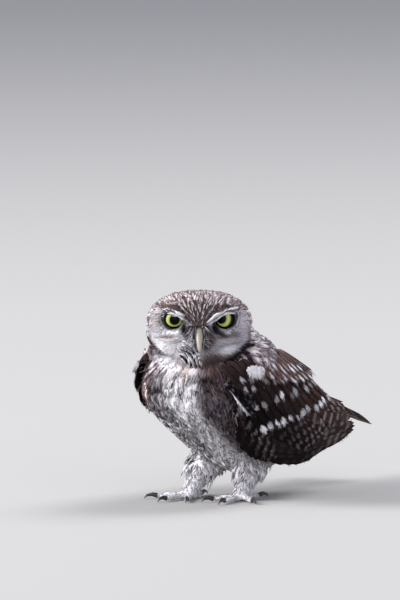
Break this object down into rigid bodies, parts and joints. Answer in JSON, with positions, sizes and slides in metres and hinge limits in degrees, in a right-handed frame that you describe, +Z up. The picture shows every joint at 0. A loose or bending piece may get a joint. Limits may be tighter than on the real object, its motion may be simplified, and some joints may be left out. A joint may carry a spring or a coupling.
{
  "type": "little owl",
  "caption": "Life-size still model of a little owl standing, leaning forward with its head turned, wings folded and one wing hanging slightly open.",
  "frame": {"origin": "on the floor, below the middle of the whole bird's bounding box", "axes": "+X to the bird's left, +Y from its breast to its tail, so that it faces -Y, +Z up"},
  "size_m": [0.087, 0.1982, 0.1221],
  "materials": {
    "face_plumage": "matte",
    "breast_plumage": "matte",
    "wing_plumage": "matte",
    "leg_plumage": "matte",
    "toe_skin": "satin",
    "horn_claw": "gloss",
    "horn_bill": "satin",
    "eye": "gloss"
  },
  "bodies": {
    "root": {"head": "face_plumage", "neck": "face_plumage", "torso": "breast_plumage", "wing_left": "wing_plumage", "leg_left": "leg_plumage", "foot_left": "toe_skin", "eye_left": "eye", "claw_left_inner": "horn_claw", "claw_left_middle": "horn_claw", "claw_left_outer": "horn_claw", "claw_left_hind": "horn_claw", "wing_right": "wing_plumage", "leg_right": "leg_plumage", "foot_right": "toe_skin", "eye_right": "eye", "claw_right_inner": "horn_claw", "claw_right_middle": "horn_claw", "claw_right_outer": "horn_claw", "claw_right_hind": "horn_claw", "tail": "wing_plumage", "bill_upper": "horn_bill", "bill_lower": "horn_bill"}
  },
  "joints": []
}
